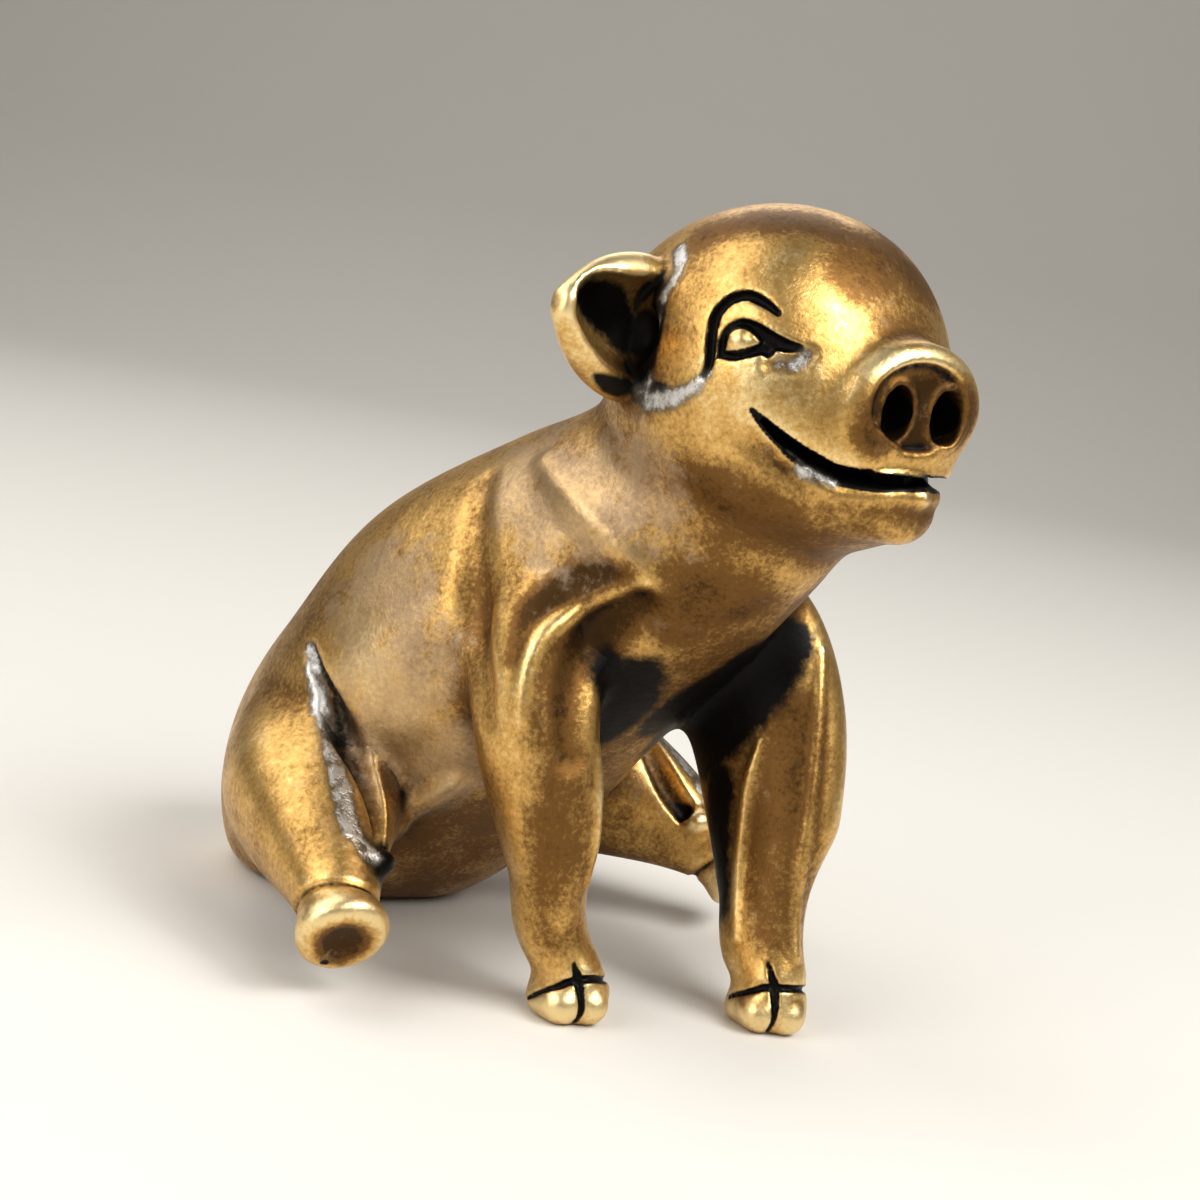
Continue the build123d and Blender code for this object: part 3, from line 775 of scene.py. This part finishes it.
# painted shade and painted dark reflection on the nose disc, painted shade above the edge of the shoulder,
# deeper patina on the soles, and how much deeper
NOSE = [(-2.7, -25.7, 27.0, 0.6), (-2.2, -25.9, 27.8, 1.0), (-0.6, -26.2, 27.8, 1.2), (1.0, -26.5, 27.9, 1.0)]
SHOULDER_SHADE = [
    (-5.2, -16.9, 19.5, 0.0), (-5.6, -15.9, 19.0, 0.15), (-6.4, -14.7, 18.2, 0.25),
    (-7.4, -14.1, 17.3, 0.25), (-8.2, -14.0, 16.3, 0.1), (-8.6, -14.1, 15.2, 0.0),
]
SOLE = [(-13.2, -11.9, 2.9, 0.7), (-13.1, -12.0, 2.6, 0.7)]
DEEP_PATINA_AND_SHADE = 2.0
# painted reflections that lighten the belly and the cheeks as bright as the back, and by how much
PAINTED_REFLECTION = [
    [(-9.1, -5.4, 13.6, 0.5), (-8.8, -7.4, 11.5, 0.9), (-7.5, -8.9, 10.1, 0.9), (-5.9, -9.4, 8.4, 0.5)],
    [
        (-6.3, -20.4, 26.2, 0.3), (-5.95, -22.15, 27.3, 0.6), (-5.3, -23.2, 28.0, 0.6),
        (-4.3, -24.1, 28.6, 0.6), (-3.2, -24.6, 29.7, 0.4),
    ],
]
REFLECTION_LIFT = 0.45
# a grey bloom on the neck and the flanks
BLOOM = [
    [(-5.0, -10.5, 22.0, 0.8), (-6.0, -13.2, 21.4, 1.2), (-5.5, -16.7, 22.6, 1.0)],
    [
        (-8.5, -6.1, 15.5, 1.5), (-8.6, -7.5, 13.0, 1.8), (-8.6, -7.6, 11.4, 1.6),
        (-7.5, -8.9, 10.0, 1.2), (-6.0, -9.4, 8.6, 0.8),
    ],
]
# painted dark reflection down the fronts of the forelegs, patina at the root of the ear and painted shade on
# its outer edge
LEG_PAINTED_REFLECTION = [
    [(-6.98, -16.78, 11.0, 0.6), (-6.48, -16.9, 7.2, 0.8), (-5.85, -16.75, 4.0, 0.6)],
    [(4.6, -19.6, 13.0, 0.8), (3.9, -20.5, 8.0, 1.0), (3.4, -21.2, 4.5, 0.7)],
]
EAR_PATINA_AND_SHADE = [
    [(-6.4, -16.6, 26.9, 0.6), (-7.2, -16.4, 27.3, 0.4)],
    [
        (-10.9, -15.7, 30.2, 0.1), (-10.6, -15.6, 29.2, 0.2),
        (-9.8, -15.6, 28.3, 0.2), (-8.8, -15.7, 27.6, 0.2),
    ],
]
# lines of painted shade and painted dark reflection, and the patina at the root of the ears
shade_and_patina_lines = lines_of([*pairs(PAINTED_SHADE_AND_REFLECTION + EAR_PATINA_AND_SHADE), *LEG_PAINTED_REFLECTION])
deep_patina_and_shade_lines = lines_of([NOSE, SHOULDER_SHADE, *both(SOLE)])
painted_reflection_lines = lines_of(pairs(PAINTED_REFLECTION))
bloom_lines = lines_of(pairs(BLOOM))
# counts the lines of painted shade and patina, and of painted reflections
print(len(shade_and_patina_lines) + len(deep_patina_and_shade_lines), "lines of patina,", len(painted_reflection_lines), "rubbed bright")

# %% What wear and painted light leave at a point
# how far past a line's radius its mark fades out, in millimetres
GROOVE_FADE, ARMPIT_FADE, EAR_FADE, FILLER_AND_GLINT_FADE = 0.12, 1.4, 0.5, 0.5
SHADE_AND_PATINA_FADE, DEEP_FADE, REFLECTION_FADE, BLOOM_FADE = 1.2, 0.8, 2.0, 3.0
# faces that look down by more than this share get painted shade, up to a most
UNDERSIDE, UNDERSIDE_MOST = 0.3, 0.7


def reach_of(lines, points, fade):
    """1 within a line's radius, falling to 0 over the fade."""
    best = np.zeros(len(points))
    for places, radii in lines:
        margin = radii.max() + fade
        close = np.all((points > places.min(0) - margin) & (points < places.max(0) + margin), axis=1)
        gap = line_distance(points[close][:, None, None], places, radii)[:, 0, 0]
        best[close] = np.maximum(best[close], np.clip(1 - gap / fade, 0, 1))
    return best


def wear_and_painted_light(points):
    """Each kind of wear and painted light at some points: the most that any line, or the slope of the skin,
    gives there.
    """
    soot_and_shade = [
        reach_of(blackened, points, GROOVE_FADE),
        # black patina in the armpits, and painted shade between the legs
        reach_of(armpit_lines, points, ARMPIT_FADE),
        reach_of(ear_lines, points, EAR_FADE),
    ]
    # deeper patina and painted shade, by line and by slope
    patina = [
        # painted shade and dark reflections, and patina at the root of the ears
        reach_of(shade_and_patina_lines, points, SHADE_AND_PATINA_FADE),
        # painted shade on the nose and the shoulder, deeper patina on the soles
        DEEP_PATINA_AND_SHADE * reach_of(deep_patina_and_shade_lines, points, DEEP_FADE),
        # painted shade on faces that look down
        np.clip(-UNDERSIDE - normals_at(points)[:, 2], 0, UNDERSIDE_MOST),
    ]
    return {
        "fine_hollow": sampled(fine_metal, points),
        "broad_hollow": sampled(broad_metal, points),
        # black in grooves and corners, with painted shade between the legs
        "soot_and_shade": np.max(soot_and_shade, axis=0),
        "bloom": reach_of(bloom_lines, points, BLOOM_FADE),
        # grey filler at the joints, and painted highlights at the eyes and the lip
        "filler": reach_of(filler_lines, points, FILLER_AND_GLINT_FADE),
        # patina with painted shade and dark reflections, less the painted reflections on the belly and the
        # cheeks
        "tarnish_and_shade": np.max(patina, axis=0) - REFLECTION_LIFT * reach_of(painted_reflection_lines, points, REFLECTION_FADE),
    }


# %% [markdown]
# The skin is parted where one casting comes nearer than the next, so every piece is one casting of the real
# figure. A Bisect cut is flat, and these joints run round shoulders and thighs. At a joint a piece dips a
# little under its neighbour, which draws the joint line and leaves no gap. OpenVDB turns each part into a
# closed mesh of quads.

# %% Back to closed meshes, one for each casting
# how steeply a piece dips under its neighbour, and how far it goes there in millimetres
SEAM_SLOPE, SEAM_LAP = 0.06, 0.3
# the broad torso is meshed on every second grid point
STEPS = {"torso": 2}
brass = bpy.data.materials.new("antique brass")


def without_specks(field):
    """The same field without grid points that lie inside, or outside, all on their own."""
    inside = (field < 0).astype(np.int8)
    inner = (slice(1, -1),) * 3
    around = np.zeros_like(inside[inner])
    for axis in range(3):
        for way in (-1, 1):
            around += np.roll(inside, way, axis)[inner]
    middle = field[inner]
    middle[(around == 0) & (middle < 0)] = GRID
    middle[(around == 6) & (middle >= 0)] = -GRID
    return field


def meshed(name):
    """The part of the skin that belongs to a casting. At a joint it dips under its neighbour's skin."""
    start, field = castings[name]
    part = window(start, field.shape)
    rival = np.where(field <= nearest[part], second[part], nearest[part])
    beyond = field - rival
    own = np.maximum(skin[part] + SEAM_SLOPE * np.maximum(beyond, 0), beyond - SEAM_LAP)
    step = STEPS.get(name, 1)
    level_set = openvdb.FloatGrid(float(BAND))
    level_set.copyFromArray(without_specks(np.ascontiguousarray(own[::step, ::step, ::step])))
    points, quads = level_set.convertToQuads(0.0)
    return (points * step + start) * GRID, quads


def add_mesh(name, points, quads):
    """A smooth-shaded brass piece in its place, from points in millimetres and rows of four."""
    mesh = bpy.data.meshes.new(name)
    mesh.vertices.add(len(points))
    mesh.vertices.foreach_set("co", (points * MM).astype(np.float32).ravel())
    mesh.loops.add(quads.size)
    mesh.loops.foreach_set("vertex_index", quads.astype(np.int32).ravel())
    mesh.polygons.add(len(quads))
    mesh.polygons.foreach_set("loop_start", np.arange(0, quads.size, 4, dtype=np.int32))
    mesh.update(calc_edges=True)
    mesh.polygons.foreach_set("use_smooth", np.ones(len(quads), bool))
    mesh.materials.append(brass)
    piece = bpy.data.objects.new(name, mesh)
    bpy.context.scene.collection.objects.link(piece)
    return piece


def outward(points, quads):
    """The same faces, turned round if the volume that they enclose comes out negative."""
    a, b, c, d = points[quads.T]
    volume = np.sum(np.cross(b - a, c - a) * a) + np.sum(np.cross(c - a, d - a) * a)
    return quads if volume > 0 else quads[:, ::-1]


# %% The nine pieces
for name in FORMS:
    points, quads = meshed(name)
    piece = add_mesh("skin_" + name, points, outward(points, quads))
    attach(piece, "root")
    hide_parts(name)
    for label, values in wear_and_painted_light(points).items():
        kept = piece.data.attributes.new(label, "FLOAT", "POINT")
        kept.data.foreach_set("value", values.astype(np.float32))
    print(name, len(points), "points", len(quads), "quads")

# %% [markdown]
# The metal is cast brass with an antique finish: dipped until it is black, then buffed. To the eye that is
# a yellow mirror, a little dull from the grain of the casting, which turns brown where the wheel passed
# lightly and stays black in grooves. Bare brass is fully metallic with a roughness of about 0.3 to 0.5. One
# material serves all nine castings, with patterns on Object coordinates and the wear from the attributes,
# which also carry painted shade, painted dark reflections and painted highlights, so nothing needs
# unwrapping.

# %% Colours of the finish
POLISHED, GOLD, ASH, BROWN, DARK = "#EDD39A", "#D0A55E", "#B59E82", "#74522A", "#453019"
BLACK, SILVER, LEAD = "#0D0B09", "#CFCDC8", "#575047"


def srgb(code):
    """Linear colour from a hex code, by the sRGB curve."""
    values = [int(code[i:i + 2], 16) / 255 for i in (1, 3, 5)]
    linear = [v / 12.92 if v <= 0.04045 else ((v + 0.055) / 1.055) ** 2.4 for v in values]
    return (*linear, 1.0)


brass.use_nodes = True
tree = brass.node_tree
shader = tree.nodes["Principled BSDF"]


def node(kind, inputs, out=0, **settings):
    """Adds a node with its settings and gives one output. An input is a value, or a socket to link."""
    made = tree.nodes.new("ShaderNode" + kind)
    for key, value in settings.items():
        setattr(made, key, value)
    for key, value in inputs.items():
        if isinstance(value, bpy.types.NodeSocket):
            tree.links.new(value, made.inputs[key])
        else:
            made.inputs[key].default_value = value
    return made.outputs[out]


print("polished brass in linear colour", [round(c, 3) for c in srgb(POLISHED)])

# %% Patterns of the finish
# size of the features in millimetres, detail and roughness of each cloudy pattern
CLOUDS = {
    "grain": (0.22, 3.0, 0.7),
    "speck": (0.6, 5.0, 0.7),
    "streak": (0.9, 5.0, 0.7),
    "bloom": (1.4, 5.0, 0.75),
    "dimple": (1.8, 2.0, 0.5),
    "patina": (2.6, 5.0, 0.62),
}
spots = node("TexCoord", {}, "Object")
cloud = {}
for name, (size, detail, roughness) in CLOUDS.items():
    settings = {"Vector": spots, "Scale": 1 / (size * MM), "Detail": detail, "Roughness": roughness}
    cloud[name] = node("TexNoise", settings, "Fac")
KINDS = ("fine_hollow", "broad_hollow", "soot_and_shade", "bloom", "filler", "tarnish_and_shade")
wear_and_light_nodes = {kind: node("Attribute", {}, "Fac", attribute_name=kind) for kind in KINDS}
print(len(cloud), "patterns and", len(wear_and_light_nodes), "kinds of wear")

# %% How far each place is polished, with painted shade and painted reflections
# high places are rubbed bright, with clouds of patina left between them
POLISH_START = 1.1
POLISH_SHARES = [
    (wear_and_light_nodes["broad_hollow"], -3.2),
    (wear_and_light_nodes["fine_hollow"], -2.5),
    # painted shade and dark reflections dull the polish here along with the patina, and painted reflections
    # brighten it
    (wear_and_light_nodes["tarnish_and_shade"], -0.85),
    (cloud["patina"], 1.9),
    (cloud["grain"], 1.6),
]
polish_and_light = POLISH_START
for pattern, share in POLISH_SHARES:
    polish_and_light = node("Math", {0: pattern, 1: share, 2: polish_and_light}, operation="MULTIPLY_ADD")
# where each coat starts to show and where it covers, which moves with the painted shade and painted
# reflections in the polish
BROWN_RANGE, GOLD_RANGE, POLISHED_RANGE = (-1.3, -0.5), (-0.45, 0.6), (0.4, 1.2)
browned, gilded, bright = (
    node("MapRange", {"Value": polish_and_light, "From Min": low, "From Max": high}, interpolation_type="SMOOTHSTEP")
    for low, high in (BROWN_RANGE, GOLD_RANGE, POLISHED_RANGE)
)
print("polish from", len(POLISH_SHARES), "shares")

# %% Black, bloom, filler and painted glints
# black stays in grooves, deep corners and sooty lines, some of which paint shade between the legs: source and
# weight, share of specks, and range
BLACKS = [
    (wear_and_light_nodes["fine_hollow"], 3.0, 0.32, (1.78, 2.02)),
    (wear_and_light_nodes["broad_hollow"], 4.0, 0.8, (2.75, 3.5)),
    (wear_and_light_nodes["soot_and_shade"], 1.0, 0.72, (0.66, 1.21)),
]
black = 0.0
for source, weight, specks, (low, high) in BLACKS:
    weighed = node("Math", {0: source, 1: weight}, operation="MULTIPLY")
    edge = node("Math", {0: cloud["speck"], 1: specks, 2: weighed}, operation="MULTIPLY_ADD")
    limits = {"Value": edge, "From Min": low, "From Max": high}
    shown = node("MapRange", limits, interpolation_type="SMOOTHSTEP")
    black = node("Math", {0: black, 1: shown}, operation="MAXIMUM")
# the grey bloom, the dull border of the filler and of the painted glints, and their silver core: how streaky,
# range, and most
PATCHES = [
    (wear_and_light_nodes["bloom"], cloud["bloom"], 3.0, (1.7, 2.5), 0.55),
    (wear_and_light_nodes["filler"], cloud["streak"], 1.3, (0.8, 1.55), 0.85),
    (wear_and_light_nodes["filler"], cloud["streak"], 2.6, (1.9, 2.6), 1.0),
]
patches = []
for source, pattern, streaks, (low, high), most in PATCHES:
    edge = node("Math", {0: pattern, 1: streaks, 2: source}, operation="MULTIPLY_ADD")
    limits = {"Value": edge, "From Min": low, "From Max": high, "To Max": most}
    patches.append(node("MapRange", limits, interpolation_type="SMOOTHSTEP"))
ashen, leaden, silvered = patches
print(len(BLACKS), "sources of black,", len(PATCHES), "patches")

# %% The finish put together
# coats in the order that they lie on each other, over a dark ground
COATS = [
    (browned, BROWN), (gilded, GOLD), (bright, POLISHED), (ashen, ASH),
    (black, BLACK), (leaden, LEAD), (silvered, SILVER),
]
# how far black takes the metal away, and what gold and grain do to the roughness
BLACK_DULLS = -0.15
DULL, GOLD_SHINES, GRAIN_DULLS = 0.46, -0.16, 0.12
# shares of the fine relief, its height in millimetres and its strength
RELIEF = [(cloud["speck"], 0.6), (cloud["grain"], 0.4), (cloud["dimple"], 1.6), (silvered, 0.8)]
RELIEF_HEIGHT, RELIEF_STRENGTH = 0.06, 0.6
colour = srgb(DARK)
for share, coat in COATS:
    colour = node("Mix", {0: share, 6: colour, 7: srgb(coat)}, 2, data_type="RGBA")
metallic = node("Math", {0: black, 1: BLACK_DULLS, 2: 1.0}, operation="MULTIPLY_ADD")
metallic = node("Math", {0: metallic, 1: silvered}, operation="MAXIMUM")
shine = node("Math", {0: gilded, 1: GOLD_SHINES, 2: DULL}, operation="MULTIPLY_ADD")
shine = node("Math", {0: cloud["grain"], 1: GRAIN_DULLS, 2: shine}, operation="MULTIPLY_ADD")
height = 0.0
for pattern, share in RELIEF:
    height = node("Math", {0: pattern, 1: share, 2: height}, operation="MULTIPLY_ADD")
bumps = {"Height": height, "Strength": RELIEF_STRENGTH, "Distance": RELIEF_HEIGHT * MM}
finish = {"Base Color": colour, "Metallic": metallic, "Roughness": shine, "Normal": node("Bump", bumps)}
for name, made in finish.items():
    tree.links.new(made, shader.inputs[name])
print("brass", len(tree.nodes), "nodes")

# %% [markdown]
# The pig sits on a sheet of pale paper that curls up behind it and on both sides, as in a small photo
# studio, so that metal has something soft to reflect. A plane would end in a hard horizon. One profile,
# flat and then a quarter circle and a wall, is carried round the three sides, with rounded corners.

# %% The paper sweep
CAMERA_TURN = math.radians(-48.9)
# in millimetres, from the origin, along the way that the camera looks and across it
CURL_START, CURL_RADIUS, SWEEP_FRONT, SWEEP_TOP = 220.0, 160.0, -1200.0, 1200.0
HALF_WIDTH, CORNER, FLAT_RING = 420.0, 220.0, 40.0
away = np.array([-math.sin(CAMERA_TURN), math.cos(CAMERA_TURN)])
sideways = np.array([math.cos(CAMERA_TURN), math.sin(CAMERA_TURN)])
bend = np.linspace(0, np.pi / 2, 24)
outwards = CORNER + np.concatenate([[-FLAT_RING], CURL_RADIUS * np.sin(bend), [CURL_RADIUS]])
lift = np.concatenate([[0.0], CURL_RADIUS * (1 - np.cos(bend)), [SWEEP_TOP]])
quarter = np.linspace(0, np.pi / 2, 13)
headings = np.concatenate([quarter[:1], quarter, quarter + np.pi / 2, [np.pi]]) - np.pi / 2
forth = np.full(len(headings), CURL_START - CORNER)
forth[[0, -1]] = SWEEP_FRONT
shift = (HALF_WIDTH - CORNER) * np.repeat([-1, 1], len(headings) // 2)
forth = forth[:, None] + np.cos(headings)[:, None] * outwards
shift = shift[:, None] + np.sin(headings)[:, None] * outwards
flat = forth[..., None] * away + shift[..., None] * sideways
corners = np.dstack([flat, np.broadcast_to(lift, forth.shape)]).reshape(-1, 3)
index = np.arange(len(corners)).reshape(forth.shape)
strips = np.stack([index[:-1, :-1], index[:-1, 1:], index[1:, 1:], index[1:, :-1]], axis=-1).reshape(-1, 4)
print("sweep of", len(strips) + 1, "faces")

# %% The sheet in its place
PAPER, PAPER_ROUGHNESS = "#DAD6CE", 0.85
floor_mesh = bpy.data.meshes.new("floor")
floor_mesh.from_pydata((corners * MM).tolist(), [], [*strips.tolist(), index[:, 0].tolist()])
# all but the flat middle is shaded smooth
floor_mesh.polygons.foreach_set("use_smooth", np.arange(len(strips) + 1) < len(strips))
floor = bpy.data.objects.new("floor", floor_mesh)
bpy.context.scene.collection.objects.link(floor)
floor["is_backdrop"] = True
paper = bpy.data.materials.new("pale paper")
paper.use_nodes = True
paper_shader = paper.node_tree.nodes["Principled BSDF"]
paper_shader.inputs["Base Color"].default_value = srgb(PAPER)
paper_shader.inputs["Roughness"].default_value = PAPER_ROUGHNESS
floor_mesh.materials.append(paper)
print("paper of roughness", PAPER_ROUGHNESS)

# %% [markdown]
# The camera stands to the pig's right and a little above it, and is rolled as a hand-held one is. Its turn
# could be given as Euler angles, but three unit vectors are easier to check: to the right, up, and back
# from the pig.

# %% Camera
CAMERA_TILT, CAMERA_ROLL = math.radians(9.7), math.radians(9.9)
CAMERA_AWAY, CAMERA_SIDE, CAMERA_LIFT = 104.3, -0.96, -0.07
LOOK_AT = np.array([0.0, -12.2, 17.0])
LENS, NEAREST = 72, 5
back = np.array([
    math.sin(CAMERA_TURN) * math.cos(CAMERA_TILT),
    -math.cos(CAMERA_TURN) * math.cos(CAMERA_TILT),
    math.sin(CAMERA_TILT),
])
level = np.array([math.cos(CAMERA_TURN), math.sin(CAMERA_TURN), 0.0])
tilted = np.cross(back, level)
right = math.cos(CAMERA_ROLL) * level + math.sin(CAMERA_ROLL) * tilted
up = -math.sin(CAMERA_ROLL) * level + math.cos(CAMERA_ROLL) * tilted
eye = LOOK_AT + right * CAMERA_SIDE + up * CAMERA_LIFT + back * CAMERA_AWAY
lens = bpy.data.cameras.new("camera")
lens.lens = LENS
lens.clip_start = NEAREST * MM
camera = bpy.data.objects.new("camera", lens)
bpy.context.scene.collection.objects.link(camera)
stand = np.identity(4)
stand[:3] = np.column_stack([right, up, back, eye * MM])
camera.matrix_world = Matrix(stand)
bpy.context.scene.camera = camera
print("camera at", np.round(eye, 1), "mm")

# %% [markdown]
# Polished metal shows its lights, so they are broad discs: a window behind the pig's right shoulder, a side
# light, two lamps in front and a weak rim light on the far side. A grey world fills in the rest. Small
# lamps would leave hard white dots, and more power would wash out the patina.

# %% Lights
BODY, CHEST = (0, -8, 15), (0, -12, 20)
# place and aim in millimetres, width in millimetres and power in watts
LIGHTS = {
    "window": ((-75, 110, 185), BODY, 230, 0.3),
    "side": ((-210, 10, 110), BODY, 180, 0.28),
    "lamp": ((-35, -185, 160), CHEST, 130, 0.25),
    "top": ((55, -165, 190), CHEST, 130, 0.42),
    "rim": ((150, 120, 180), CHEST, 160, 0.12),
}
WORLD, WORLD_STRENGTH = "#B9B6B0", 0.2
for name, (place, aim, width, power) in LIGHTS.items():
    lamp = bpy.data.lights.new(name, "AREA")
    lamp.shape = "DISK"
    lamp.size = width * MM
    lamp.energy = power
    light = bpy.data.objects.new(name, lamp)
    light.location = Vector(place) * MM
    light.rotation_euler = (Vector(place) - Vector(aim)).to_track_quat("Z", "Y").to_euler()
    bpy.context.scene.collection.objects.link(light)
world = bpy.data.worlds.new("studio")
world.use_nodes = True
world.node_tree.nodes["Background"].inputs["Color"].default_value = srgb(WORLD)
world.node_tree.nodes["Background"].inputs["Strength"].default_value = WORLD_STRENGTH
bpy.context.scene.world = world
bpy.context.scene.view_settings.view_transform = "Standard"
print(len(LIGHTS), "lights")

# %% [markdown]
# The last step measures the finished pig and prints its size. The shapes are worked out in millimetres and
# scaled by MM, so the bounds come in metres and are printed in millimetres.

# %% Size of the finished pig
low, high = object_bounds()
print("final size in mm", [round((b - a) / MM, 2) for a, b in zip(low, high)])
